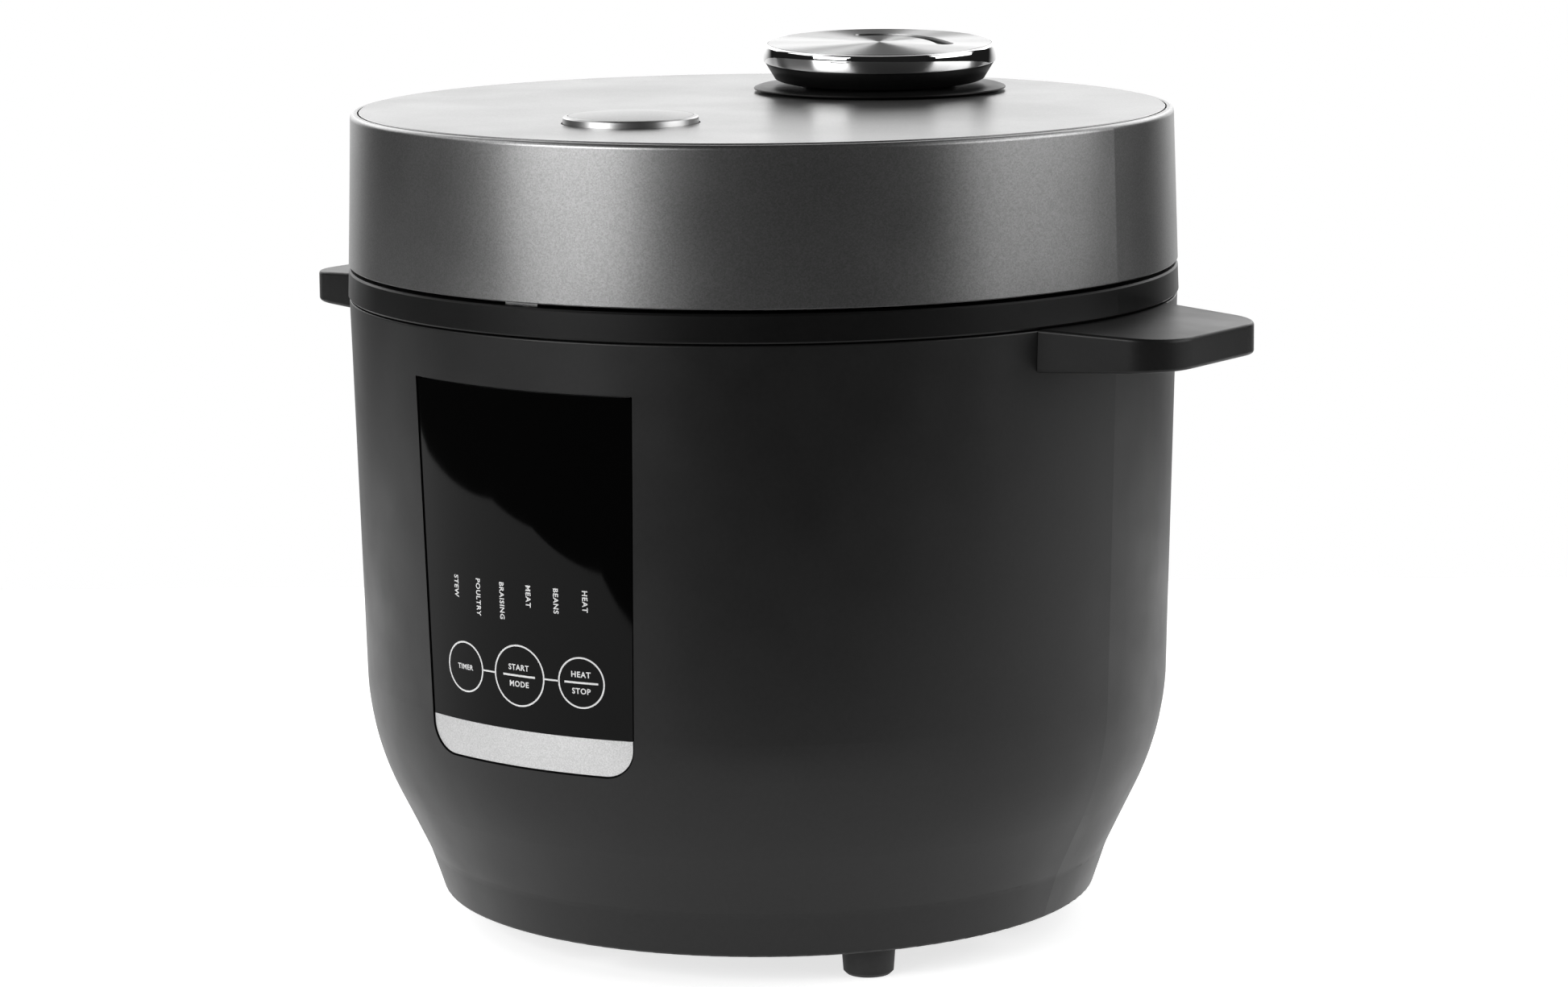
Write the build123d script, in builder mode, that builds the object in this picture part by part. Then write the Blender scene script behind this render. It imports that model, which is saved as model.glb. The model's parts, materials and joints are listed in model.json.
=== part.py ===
from build123d import *
import os
from math import cos, radians, sin

# Electric pressure cooker of about two litres, with a hinged lid.
# Millimetres, +Z up. The origin is where the pot's upright axis meets the worktop.
# The control panel faces -Y, the hinge and the power inlet are at +Y, the handles lie along X.

os.makedirs("parts", exist_ok=True)

# ---- driving dimensions ----
# Barrel: a slightly tapered drum that draws in to a smaller foot.
barrel_top = 165.3
barrel_bottom = 8.0
barrel_top_r = 108.3
shoulder_r = 105.45
shoulder_z = 50.6
shoulder_fillet = 74.0
ankle_r = 90.5
ankle_z = 19.6
ankle_fillet = 12.0
hem_r = 86.6
barrel_wall = 2.2

# Collar band between barrel and lid.
collar_bottom = 165.8
collar_top = 173.0
collar_r = 108.6
deck_under = 171.0
mouth_r = 92.5

# Lid drum.
lid_bottom = 174.0
lid_top = 213.7
lid_bottom_r = 108.35
lid_top_r = 107.1
lid_wall = 2.2
panel_r = 104.9

# Control panel, measured across the front and up from the worktop.
window_half = 33.8
window_taper = 0.024
window_bottom = 56.7
window_top = 152.6
window_gap = 0.5
trim_top = 66.6
glass_inset = 0.35
glass_back = 2.1
key_z = 80.5
key_pitch = 18.4

# Pots.
pot_r = 80.0
pot_floor = 58.5
pot_wall = 1.2
pot_rim_top = 167.5
pot_rim_r = 89.0
jacket_r = 85.0
jacket_floor = 38.0

# Hinge, knob, button and latch.
hinge_y = 114.2
hinge_z = 172.0
hinge_r = 5.2
hinge_pin_r = 2.0
knob_y = 54.9
knob_r = 31.4
knob_top = 226.8
knob_lean = 2.6
knob_pivot = 217.0
button_y = -56.8
latch_y = -88.0
latch_z = 186.0
float_x = 30.0
float_y = -10.0

# Handles and feet.
handle_tip = 137.8
handle_root_half = 32.7
handle_tip_half = 24.2
foot_x = 62.0
foot_y = 43.9
foot_r = 7.0

# Rear housing.
rear_half = 38.8
rear_y = 119.0
rear_bottom = 3.0
rear_top = 164.0
rear_wall = 2.0

fit_gap = 0.2


# ---- shared shapes ----
def block(x, y, z, mode=Mode.ADD):
    """A box between two limits on each axis."""
    with Locations(((x[0] + x[1]) / 2, (y[0] + y[1]) / 2, (z[0] + z[1]) / 2)):
        Box(x[1] - x[0], y[1] - y[0], z[1] - z[0], mode=mode)


def post(radius, z, centre, mode=Mode.ADD):
    """An upright round bar between two heights."""
    with Locations((centre[0], centre[1], (z[0] + z[1]) / 2)):
        Cylinder(radius, z[1] - z[0], mode=mode)


def bar_x(radius, x, y, z, mode=Mode.ADD):
    """A round bar along X."""
    with Locations(Location(((x[0] + x[1]) / 2, y, z), (0, 90, 0))):
        Cylinder(radius, x[1] - x[0], mode=mode)


def bar_y(radius, y, x, z, mode=Mode.ADD):
    """A round bar along Y."""
    with Locations(Location((x, (y[0] + y[1]) / 2, z), (90, 0, 0))):
        Cylinder(radius, y[1] - y[0], mode=mode)


def turn(points, centre=(0, 0), mode=Mode.ADD):
    """Turn a closed half section, given as (radius, height) points, about an upright axis."""
    plane = Plane(origin=(*centre, 0), x_dir=(1, 0, 0), z_dir=(0, -1, 0))
    with BuildSketch(plane) as section:
        with BuildLine():
            Polyline(*points, close=True)
        make_face()
    revolve(section.sketch, axis=Axis((*centre, 0), (0, 0, 1)), mode=mode)


def barrel_line(inset):
    """The barrel's half section, moved inwards by inset."""
    return FilletPolyline(
        (barrel_top_r - inset, barrel_top),
        (shoulder_r - inset, shoulder_z),
        (ankle_r - inset, ankle_z),
        (hem_r - inset, barrel_bottom),
        radius=[shoulder_fillet, ankle_fillet],
    )


def turn_barrel(outer_inset, inner_inset, mode=Mode.ADD):
    """A skin of the barrel between two insets from its outer surface."""
    with BuildSketch(Plane.XZ) as section:
        with BuildLine():
            outside = barrel_line(outer_inset)
            inside = barrel_line(inner_inset)
            Line(outside @ 0, inside @ 0)
            Line(outside @ 1, inside @ 1)
        make_face()
    revolve(section.sketch, axis=Axis.Z, mode=mode)


def cut_barrel_room(margin):
    """Take the barrel's whole space, with a margin, out of a neighbour."""
    room_top = 200.0
    with BuildSketch(Plane.XZ) as section:
        with BuildLine():
            outside = barrel_line(-margin)
            Polyline(
                outside @ 0,
                (collar_r + margin, barrel_top),
                (collar_r + margin, room_top),
                (0, room_top),
                (0, 0),
                (hem_r + margin, 0),
                outside @ 1,
            )
        make_face()
    revolve(section.sketch, axis=Axis.Z, mode=Mode.SUBTRACT)


def window_face(bottom, top, bottom_radius, top_radius, gap=0.0):
    """The panel's outline between two heights, narrower below, with its own corner radii."""
    low_half = window_half - gap - window_taper * (window_top - bottom)
    high_half = window_half - gap - window_taper * (window_top - top)
    with BuildSketch(Plane.XZ) as outline:
        with BuildLine():
            Polyline(
                (-low_half, bottom),
                (low_half, bottom),
                (high_half, top),
                (-high_half, top),
                close=True,
            )
        make_face()
        corners = outline.vertices().group_by(Axis.Y)
        if bottom_radius:
            fillet(corners[0], bottom_radius)
        if top_radius:
            fillet(corners[-1], top_radius)
    return outline.sketch


# ---- barrel ----
with BuildPart() as body_shell:
    turn_barrel(0, barrel_wall)
    hem = body_shell.edges().filter_by(GeomType.CIRCLE).group_by(Axis.Z)[0]
    fillet(hem.sort_by(SortBy.RADIUS)[-1], 0.9)
    rim = body_shell.edges().filter_by(GeomType.CIRCLE).group_by(Axis.Z)[-1]
    fillet(rim.sort_by(SortBy.RADIUS)[-1], 0.4)
    extrude(
        window_face(window_bottom, window_top, 8.0, 1.2),
        amount=120,
        mode=Mode.SUBTRACT,
    )
    # Opening behind the power inlet, and holes for the handle screws.
    block((-17, 17), (60, 120), (24, 54), mode=Mode.SUBTRACT)
    for screw_y in (-20, 20):
        bar_x(2.2, (-115, 115), screw_y, 161, mode=Mode.SUBTRACT)
body_shell.part.label = "body_shell"
export_step(body_shell.part, "parts/body_shell.step")


# ---- collar band, deck and the ledge that carries the pots ----
with BuildPart() as collar_ring:
    turn([
        (collar_r - 0.3, collar_bottom),
        (collar_r, collar_bottom + 0.4),
        (collar_r - 0.25, collar_top - 0.5),
        (collar_r - 0.7, collar_top),
        (mouth_r, collar_top),
        (mouth_r, collar_bottom),
        (86.5, collar_bottom),
        (86.5, 163.8),
        (mouth_r + 2, 163.8),
        (mouth_r + 2, deck_under),
        (103.4, deck_under),
        (103.4, 158.0),
        (105.5, 158.0),
        (105.5, collar_bottom),
    ])
    # Slot that the latch hook drops through; its inner edge is the catch.
    block((-8, 8), (-105.6, -98.5), (150, 180), mode=Mode.SUBTRACT)
    for screw_y in (-20, 20):
        bar_x(2.2, (-110, 110), screw_y, 161, mode=Mode.SUBTRACT)
collar_ring.part.label = "collar_ring"
export_step(collar_ring.part, "parts/collar_ring.step")


# ---- side handles ----
def handle_shape():
    """The right-hand handle: a flat plate, thinner and narrower towards its tip."""
    with BuildSketch(Plane.XY.offset(150)) as plan:
        with BuildLine():
            Polyline(
                (92, -handle_root_half),
                (handle_tip, -handle_tip_half),
                (handle_tip, handle_tip_half),
                (92, handle_root_half),
                close=True,
            )
        make_face()
        fillet(plan.vertices().group_by(Axis.X)[-1], 13)
    extrude(plan.sketch, amount=20)
    with BuildSketch(Plane.XZ) as side:
        with BuildLine():
            Polyline((90, 166.3), (145, 163.8), (145, 156.6), (90, 154.1), close=True)
        make_face()
    extrude(side.sketch, amount=60, both=True, mode=Mode.INTERSECT)


with BuildPart() as handle_right:
    handle_shape()
    tip_edges = handle_right.edges().filter_by(
        lambda e: e.center().X > 106.5 and (e.center().Z > 163.0 or e.center().Z < 158.0)
    )
    fillet(tip_edges, 0.9)
    cut_barrel_room(0.15)
    for screw_y in (-20, 20):
        bar_x(2.0, (95, 118), screw_y, 161, mode=Mode.SUBTRACT)
handle_right.part.label = "handle_right"
export_step(handle_right.part, "parts/handle_right.step")

with BuildPart() as handle_left:
    add(handle_right.part.mirror(Plane.YZ))
handle_left.part.label = "handle_left"
export_step(handle_left.part, "parts/handle_left.step")


# ---- base plate with vents, and the feet ----
with BuildPart() as base_plate:
    post(84.1, (8.6, 11.0), (0, 0))
    with BuildSketch(Plane.XY) as vents:
        with PolarLocations(38, 12):
            SlotOverall(22, 3)
        with PolarLocations(64, 4, start_angle=45):
            SlotOverall(16, 3)
    extrude(vents.sketch, amount=20, mode=Mode.SUBTRACT)
    for stand_x in (-34, 34):
        for stand_y in (-60, -20):
            post(3.0, (11.0, 19.9), (stand_x, stand_y))
    for angle in range(0, 360, 90):
        centre = (72 * cos(radians(angle)), 72 * sin(radians(angle)))
        post(2.0, (8.0, 12.0), centre, mode=Mode.SUBTRACT)
base_plate.part.label = "base_plate"
export_step(base_plate.part, "parts/base_plate.step")

for foot_name, side_x, side_y in (
    ("foot_front_left", -1, -1),
    ("foot_front_right", 1, -1),
    ("foot_rear_left", -1, 1),
    ("foot_rear_right", 1, 1),
):
    with BuildPart() as foot:
        turn(
            [(0, 0), (5.6, 0), (6.4, 0.8), (foot_r, 8.5), (0, 8.5)],
            (side_x * foot_x, side_y * foot_y),
        )
    foot.part.label = foot_name
    export_step(foot.part, f"parts/{foot_name}.step")


# ---- control panel ----
with BuildPart() as control_window:
    turn_barrel(glass_inset, glass_back)
    extrude(
        window_face(trim_top + 0.1, window_top - window_gap, 0, 1.0, window_gap),
        amount=120,
        mode=Mode.INTERSECT,
    )
control_window.part.label = "control_window"
export_step(control_window.part, "parts/control_window.step")

with BuildPart() as panel_trim:
    turn_barrel(glass_inset, glass_back)
    extrude(
        window_face(window_bottom + window_gap, trim_top, 7.5, 0, window_gap),
        amount=120,
        mode=Mode.INTERSECT,
    )
panel_trim.part.label = "panel_trim"
export_step(panel_trim.part, "parts/panel_trim.step")

with BuildPart() as panel_carrier:
    turn_barrel(barrel_wall + fit_gap, 4.0)
    extrude(window_face(53, 156, 9.0, 3.0, -2.8), amount=120, mode=Mode.INTERSECT)
    # Window for the display.
    block((-18, 18), (-120, -90), (114, 132), mode=Mode.SUBTRACT)
panel_carrier.part.label = "panel_carrier"
export_step(panel_carrier.part, "parts/panel_carrier.step")

with BuildPart() as touch_board:
    block((-29, 29), (-97.0, -95.4), (72, 150))
touch_board.part.label = "touch_board"
export_step(touch_board.part, "parts/touch_board.step")

with BuildPart() as display_module:
    block((-20, 20), (-99.6, -97.1), (112, 134))
display_module.part.label = "display_module"
export_step(display_module.part, "parts/display_module.step")

with BuildPart() as touch_springs:
    for spring_x, spring_end in ((-key_pitch, -99.6), (0, -101.7), (key_pitch, -99.6)):
        bar_y(3.0, (spring_end, -97.1), spring_x, key_z)
        bar_y(2.3, (spring_end, -97.1), spring_x, key_z, mode=Mode.SUBTRACT)
touch_springs.part.label = "touch_springs"
export_step(touch_springs.part, "parts/touch_springs.step")


# ---- pots and heater ----
with BuildPart() as inner_pot:
    with BuildSketch(Plane.XZ) as pot_section:
        with BuildLine():
            pot_outside = FilletPolyline(
                (0, pot_floor),
                (pot_r, pot_floor),
                (pot_r, pot_rim_top - 1.5),
                (pot_rim_r, pot_rim_top - 1.5),
                radius=[18, 1.0],
            )
            pot_inside = FilletPolyline(
                (0, pot_floor + pot_wall),
                (pot_r - pot_wall, pot_floor + pot_wall),
                (pot_r - pot_wall, pot_rim_top),
                (pot_rim_r, pot_rim_top),
                radius=[18 - pot_wall, 2.2],
            )
            Line(pot_outside @ 0, pot_inside @ 0)
            Line(pot_outside @ 1, pot_inside @ 1)
        make_face()
    revolve(axis=Axis.Z)
inner_pot.part.label = "inner_pot"
export_step(inner_pot.part, "parts/inner_pot.step")

terminal_x = 47.6
terminal_y = 15.4

with BuildPart() as outer_pot:
    with BuildSketch(Plane.XZ) as jacket_section:
        with BuildLine():
            jacket_outside = FilletPolyline(
                (6.6, jacket_floor),
                (jacket_r, jacket_floor),
                (jacket_r, 162.6),
                (91.5, 162.6),
                radius=[6, 1.2],
            )
            jacket_inside = FilletPolyline(
                (6.6, jacket_floor + 1),
                (jacket_r - 1, jacket_floor + 1),
                (jacket_r - 1, 163.6),
                (91.5, 163.6),
                radius=[5, 2.2],
            )
            Line(jacket_outside @ 0, jacket_inside @ 0)
            Line(jacket_outside @ 1, jacket_inside @ 1)
        make_face()
    revolve(axis=Axis.Z)
    # Holes for the heater's terminals.
    for side in (-1, 1):
        post(3.0, (30, 45), (terminal_x, side * terminal_y), mode=Mode.SUBTRACT)
outer_pot.part.label = "outer_pot"
export_step(outer_pot.part, "parts/outer_pot.step")

with BuildPart() as heating_plate:
    turn([(14, 48.2), (68, 48.2), (68, 56.3), (62, 58.3), (14, 58.3)])
heating_plate.part.label = "heating_plate"
export_step(heating_plate.part, "parts/heating_plate.step")

with BuildPart() as heating_element:
    with Locations((0, 0, 44.1)):
        Torus(50, 4, major_angle=330, rotation=(0, 0, 15))
    for side in (-1, 1):
        post(1.6, (30, 42), (terminal_x, side * terminal_y))
heating_element.part.label = "heating_element"
export_step(heating_element.part, "parts/heating_element.step")

with BuildPart() as heater_posts:
    for angle in (30, 150, 270):
        centre = (61 * cos(radians(angle)), 61 * sin(radians(angle)))
        post(3.0, (39.1, 48.1), centre)
heater_posts.part.label = "heater_posts"
export_step(heater_posts.part, "parts/heater_posts.step")

with BuildPart() as temperature_sensor:
    turn([(0, 34.5), (6, 34.5), (6, 50), (11, 50), (11, 57.4), (10.4, 58), (0, 58)])
temperature_sensor.part.label = "temperature_sensor"
export_step(temperature_sensor.part, "parts/temperature_sensor.step")

with BuildPart() as sensor_spring:
    turn([(6.8, 39.1), (8.6, 39.1), (8.6, 49.9), (6.8, 49.9)])
sensor_spring.part.label = "sensor_spring"
export_step(sensor_spring.part, "parts/sensor_spring.step")

with BuildPart() as pressure_switch:
    block((-8, 8), (22, 32), (26, 37.9))
    post(1.5, (24, 26), (-4, 27))
    post(1.5, (24, 26), (4, 27))
pressure_switch.part.label = "pressure_switch"
export_step(pressure_switch.part, "parts/pressure_switch.step")

with BuildPart() as thermal_fuse:
    bar_x(2.0, (-52, -36), 15, 35.8)
    bar_x(0.5, (-60, -28), 15, 35.8)
thermal_fuse.part.label = "thermal_fuse"
export_step(thermal_fuse.part, "parts/thermal_fuse.step")


# ---- power electronics ----
with BuildPart() as power_board:
    block((-40, 40), (-65, -15), (20.0, 21.6))
power_board.part.label = "power_board"
export_step(power_board.part, "parts/power_board.step")

with BuildPart() as transformer:
    block((-32, -8), (-56, -34), (21.7, 30.7))
    block((-27, -13), (-52, -38), (30.7, 36.4))
transformer.part.label = "transformer"
export_step(transformer.part, "parts/transformer.step")

with BuildPart() as relay:
    block((8, 27), (-56, -41), (21.7, 36.5))
relay.part.label = "relay"
export_step(relay.part, "parts/relay.step")


# ---- power inlet ----
pin_places = ((-7, 36), (7, 36), (0, 43))

with BuildPart() as inlet_pins:
    for pin_x, pin_z in pin_places:
        block((pin_x - 1, pin_x + 1), (97, 114), (pin_z - 2, pin_z + 2))
inlet_pins.part.label = "inlet_pins"
export_step(inlet_pins.part, "parts/inlet_pins.step")

with BuildPart() as power_inlet:
    block((-14.5, 14.5), (100, rear_y + 0.1), (27.5, 50.5))
    block((-17, 17), (rear_y + 0.1, rear_y + 1.3), (25.0, 53.0))
    fillet(power_inlet.edges().filter_by(Axis.Y).group_by(Axis.Y)[-1], 2.0)
    block((-12.2, 12.2), (103, 125), (31.0, 47.5), mode=Mode.SUBTRACT)
    for pin_x, pin_z in pin_places:
        block((pin_x - 1.1, pin_x + 1.1), (95, 105), (pin_z - 2.1, pin_z + 2.1), mode=Mode.SUBTRACT)
power_inlet.part.label = "power_inlet"
export_step(power_inlet.part, "parts/power_inlet.step")

with BuildPart() as mains_wires:
    for start_x, start_z, run_x, wire_drop in ((-7, 36, -16, 17.0), (7, 36, 16, 17.0), (0, 43, 6, 14.0)):
        with BuildLine() as wire_path:
            FilletPolyline(
                (start_x, 96.9, start_z),
                (start_x, 90.0, start_z),
                (run_x, 76.0, wire_drop),
                (run_x, 0.0, wire_drop),
                (run_x, -14.6, 20.8),
                radius=[2.5, 5.0, 12.0],
            )
        with BuildSketch(Plane(origin=wire_path.line @ 0, z_dir=(0, -1, 0))) as wire_section:
            Circle(1.2)
        sweep(wire_section.sketch, path=wire_path.line)
mains_wires.part.label = "mains_wires"
export_step(mains_wires.part, "parts/mains_wires.step")


# ---- rear housing and hinge ----
with BuildPart() as rear_cover:
    with BuildSketch(Plane.XY.offset(rear_bottom)) as housing_plan:
        with Locations((0, (60 + rear_y) / 2)):
            Rectangle(2 * rear_half, rear_y - 60)
        fillet(housing_plan.vertices().group_by(Axis.Y)[-1], 8)
    extrude(amount=rear_top - rear_bottom)
    under = rear_cover.faces().sort_by(Axis.Z)[0].edges().filter_by(lambda e: e.center().Y > 62)
    fillet(under, 3.5)
    with BuildSketch(Plane.XY.offset(rear_bottom + rear_wall)) as housing_hollow:
        with Locations((0, (50 + rear_y - rear_wall) / 2)):
            Rectangle(2 * (rear_half - rear_wall), rear_y - rear_wall - 50)
        fillet(housing_hollow.vertices().group_by(Axis.Y)[-1], 8 - rear_wall)
    extrude(amount=rear_top - rear_bottom - 2 * rear_wall, mode=Mode.SUBTRACT)
    # Ears that carry the hinge pin.
    for ear_side in (-1, 1):
        ear = sorted((ear_side * 28, ear_side * rear_half))
        block(ear, (106, hinge_y + hinge_r), (rear_top - 2, hinge_z))
        bar_x(hinge_r, ear, hinge_y, hinge_z)
    cut_barrel_room(fit_gap)
    bar_x(hinge_pin_r + 0.05, (-37.5, 37.5), hinge_y, hinge_z, mode=Mode.SUBTRACT)
    # Slots for the steel lugs, and the hole that the inlet sits in.
    for lug_side in (-1, 1):
        lug_slot = sorted((lug_side * 23.6, lug_side * 26.4))
        block(lug_slot, (109, 117), (155, 166), mode=Mode.SUBTRACT)
    block((-14.7, 14.7), (100, 125), (27.3, 50.7), mode=Mode.SUBTRACT)
rear_cover.part.label = "rear_cover"
export_step(rear_cover.part, "parts/rear_cover.step")

with BuildPart() as hinge_bracket:
    block((-27, 27), (113.0, 114.6), (120, 160))
    for lug_side in (-1, 1):
        lug = sorted((lug_side * 24, lug_side * 26))
        block(lug, (109.8, 116.6), (140, hinge_z))
        bar_x(4.4, lug, hinge_y, hinge_z)
    bar_x(hinge_pin_r + 0.05, (-30, 30), hinge_y, hinge_z, mode=Mode.SUBTRACT)
hinge_bracket.part.label = "hinge_bracket"
export_step(hinge_bracket.part, "parts/hinge_bracket.step")

with BuildPart() as hinge_pin:
    bar_x(hinge_pin_r, (-37.3, 37.3), hinge_y, hinge_z)
hinge_pin.part.label = "hinge_pin"
export_step(hinge_pin.part, "parts/hinge_pin.step")

with BuildPart() as hinge_spring:
    bar_x(4.3, (-8.4, 8.4), hinge_y, hinge_z)
    bar_x(2.6, (-8.4, 8.4), hinge_y, hinge_z, mode=Mode.SUBTRACT)
hinge_spring.part.label = "hinge_spring"
export_step(hinge_spring.part, "parts/hinge_spring.step")

# ---- lid: drum, top panel and liner ----
with BuildPart() as lid_side_ring:
    turn([
        (lid_bottom_r - 0.3, lid_bottom),
        (lid_bottom_r, lid_bottom + 0.3),
        (lid_top_r, lid_top - 0.3),
        (105.3, lid_top - 0.3),
        (105.3, 211.4),
        (101.5, 211.4),
        (101.5, 209.6),
        (lid_top_r - lid_wall, 209.6),
        (lid_bottom_r - lid_wall, lid_bottom),
    ])
    drum_edges = lid_side_ring.edges().filter_by(GeomType.CIRCLE).group_by(Axis.Z)[-1]
    fillet(drum_edges.sort_by(SortBy.RADIUS)[-1], 1.2)
    # Notch at the back for the hinge block.
    block((-28, 28), (90, 120), (170, 185), mode=Mode.SUBTRACT)
lid_side_ring.part.label = "lid_side_ring"
export_step(lid_side_ring.part, "parts/lid_side_ring.step")

with BuildPart() as lid_top_panel:
    turn([
        (0, 211.6),
        (99.5, 211.6),
        (99.5, 206.0),
        (101.2, 206.0),
        (101.2, 211.6),
        (panel_r, 211.6),
        (panel_r, lid_top - 0.25),
        (panel_r - 0.25, lid_top),
        (0, lid_top),
    ])
    post(24.2, (200, 220), (0, knob_y), mode=Mode.SUBTRACT)
    post(17.55, (200, 220), (0, button_y), mode=Mode.SUBTRACT)
lid_top_panel.part.label = "lid_top_panel"
export_step(lid_top_panel.part, "parts/lid_top_panel.step")

with BuildPart() as lid_liner:
    turn([
        (0, 174.3),
        (89.6, 174.3),
        (89.6, 170.0),
        (91.6, 170.0),
        (91.6, 174.3),
        (105.4, 174.3),
        (105.4, 176.3),
        (0, 176.3),
    ])
    post(6.0, (165, 180), (0, knob_y), mode=Mode.SUBTRACT)
    post(3.6, (165, 180), (0, 0), mode=Mode.SUBTRACT)
    post(6.8, (165, 180), (float_x, float_y), mode=Mode.SUBTRACT)
    block((-7, 7), (-104.6, -98.0), (172, 180), mode=Mode.SUBTRACT)
lid_liner.part.label = "lid_liner"
export_step(lid_liner.part, "parts/lid_liner.step")


# ---- lid: steel frame, hinge block and inner lid ----
with BuildPart() as lid_frame:
    block((-22, 22), (-94, 100), (178.5, 181.0))
    for lug_side in (-1, 1):
        lug = sorted((lug_side * 7.5, lug_side * 9.5))
        block(lug, (latch_y - 5, latch_y + 5), (181.0, latch_z))
        bar_x(5.0, lug, latch_y, latch_z)
    bar_x(1.55, (-12, 12), latch_y, latch_z, mode=Mode.SUBTRACT)
    post(5.4, (170, 190), (0, knob_y), mode=Mode.SUBTRACT)
    post(3.6, (170, 190), (0, 0), mode=Mode.SUBTRACT)
    # Relief under the tail of the latch hook.
    block((-6.5, 6.5), (-64, -48), (180.0, 182), mode=Mode.SUBTRACT)
lid_frame.part.label = "lid_frame"
export_step(lid_frame.part, "parts/lid_frame.step")

with BuildPart() as hinge_block:
    block((-22.5, 22.5), (84, 112), (181.2, 184.4))
    block((-22.5, 22.5), (109.2, hinge_y + hinge_r), (hinge_z, 184.4))
    back_edge = hinge_block.edges().filter_by(Axis.X).group_by(Axis.Z)[-1].sort_by(Axis.Y)[-1]
    fillet(back_edge, 5.0)
    bar_x(hinge_r, (-22.5, 22.5), hinge_y, hinge_z)
    bar_x(hinge_pin_r + 0.06, (-30, 30), hinge_y, hinge_z, mode=Mode.SUBTRACT)
    bar_x(6.3, (-9, 9), hinge_y, hinge_z, mode=Mode.SUBTRACT)
hinge_block.part.label = "hinge_block"
export_step(hinge_block.part, "parts/hinge_block.step")

with BuildPart() as inner_lid_plate:
    turn([(0, 172.7), (86.5, 172.7), (86.5, 173.9), (0, 173.9)])
    post(5.4, (165, 180), (0, knob_y), mode=Mode.SUBTRACT)
    post(3.6, (165, 180), (0, 0), mode=Mode.SUBTRACT)
    post(6.8, (165, 180), (float_x, float_y), mode=Mode.SUBTRACT)
inner_lid_plate.part.label = "inner_lid_plate"
export_step(inner_lid_plate.part, "parts/inner_lid_plate.step")

with BuildPart() as sealing_ring:
    turn([
        (79.5, 167.9),
        (88.6, 167.9),
        (88.6, 172.5),
        (86.8, 172.5),
        (86.8, 169.6),
        (81.3, 169.6),
        (81.3, 172.5),
        (79.5, 172.5),
    ])
sealing_ring.part.label = "sealing_ring"
export_step(sealing_ring.part, "parts/sealing_ring.step")

with BuildPart() as inner_lid_nut:
    turn([
        (0, 166.5),
        (6.4, 166.5),
        (7, 167.1),
        (7, 172.4),
        (3.3, 172.4),
        (3.3, 183.5),
        (5.5, 183.5),
        (5.5, 185.5),
        (0, 185.5),
    ])
inner_lid_nut.part.label = "inner_lid_nut"
export_step(inner_lid_nut.part, "parts/inner_lid_nut.step")


# ---- steam path, from the pot up to the knob ----
steam_axis = (0, knob_y)

with BuildPart() as steam_pipe:
    turn(
        [
            (2.5, 166.0),
            (5.0, 166.0),
            (5.0, 181.4),
            (9.0, 181.4),
            (9.0, 183.6),
            (5.0, 183.6),
            (5.0, 200.0),
            (3.0, 204.0),
            (3.0, 208.4),
            (1.2, 208.4),
            (1.2, 204.0),
            (2.5, 200.0),
        ],
        steam_axis,
    )
steam_pipe.part.label = "steam_pipe"
export_step(steam_pipe.part, "parts/steam_pipe.step")

with BuildPart() as steam_guard:
    turn(
        [
            (0, 163.2),
            (9.5, 163.2),
            (11.0, 164.7),
            (11.0, 172.4),
            (10.2, 172.4),
            (10.2, 165.0),
            (9.2, 164.0),
            (0, 164.0),
        ],
        steam_axis,
    )
    with BuildSketch(Plane.XY.offset(160)) as guard_holes:
        with Locations(steam_axis):
            with PolarLocations(5.5, 8):
                Circle(1.1)
    extrude(guard_holes.sketch, amount=5, mode=Mode.SUBTRACT)
steam_guard.part.label = "steam_guard"
export_step(steam_guard.part, "parts/steam_guard.step")

with BuildPart() as knob_flange:
    turn(
        [
            (10.0, 203.0),
            (23.8, 203.0),
            (23.8, 213.9),
            (31.5, 213.9),
            (34.0, 214.4),
            (34.0, 214.8),
            (32.4, 215.5),
            (22.0, 215.5),
            (22.0, 204.6),
            (10.0, 204.6),
        ],
        steam_axis,
    )
knob_flange.part.label = "knob_flange"
export_step(knob_flange.part, "parts/knob_flange.step")

with BuildPart() as pressure_weight:
    turn(
        [
            (3.6, 206.0),
            (8.4, 206.0),
            (9.0, 206.6),
            (9.0, 213.4),
            (8.4, 214.0),
            (0, 214.0),
            (0, 209.0),
            (3.6, 209.0),
        ],
        steam_axis,
    )
pressure_weight.part.label = "pressure_weight"
export_step(pressure_weight.part, "parts/pressure_weight.step")


def seat_knob(shape):
    """The knob sits loosely on the valve and leans towards its front right."""
    return shape.rotate(Axis((0, knob_y, knob_pivot), (0.8141, 0.5807, 0)), knob_lean)


with BuildPart() as knob_grip:
    turn(
        [
            (0, 221.8),
            (30.8, 221.8),
            (30.8, 221.5),
            (28.2, 217.2),
            (26.6, 217.2),
            (28.0, 219.6),
            (20.5, 219.6),
            (20.5, 206.9),
            (18.5, 206.9),
            (18.5, 219.6),
            (0, 219.6),
        ],
        steam_axis,
    )
knob_grip_set = seat_knob(knob_grip.part)
knob_grip_set.label = "knob_grip"
export_step(knob_grip_set, "parts/knob_grip.step")

with BuildPart() as knob_rim:
    turn(
        [
            (26.0, 221.9),
            (31.0, 221.9),
            (knob_r, 222.3),
            (knob_r, 226.0),
            (knob_r - 0.6, 226.65),
            (30.3, 226.65),
            (30.3, 224.8),
            (26.0, 224.8),
        ],
        steam_axis,
    )
knob_rim_set = seat_knob(knob_rim.part)
knob_rim_set.label = "knob_rim"
export_step(knob_rim_set, "parts/knob_rim.step")


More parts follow.
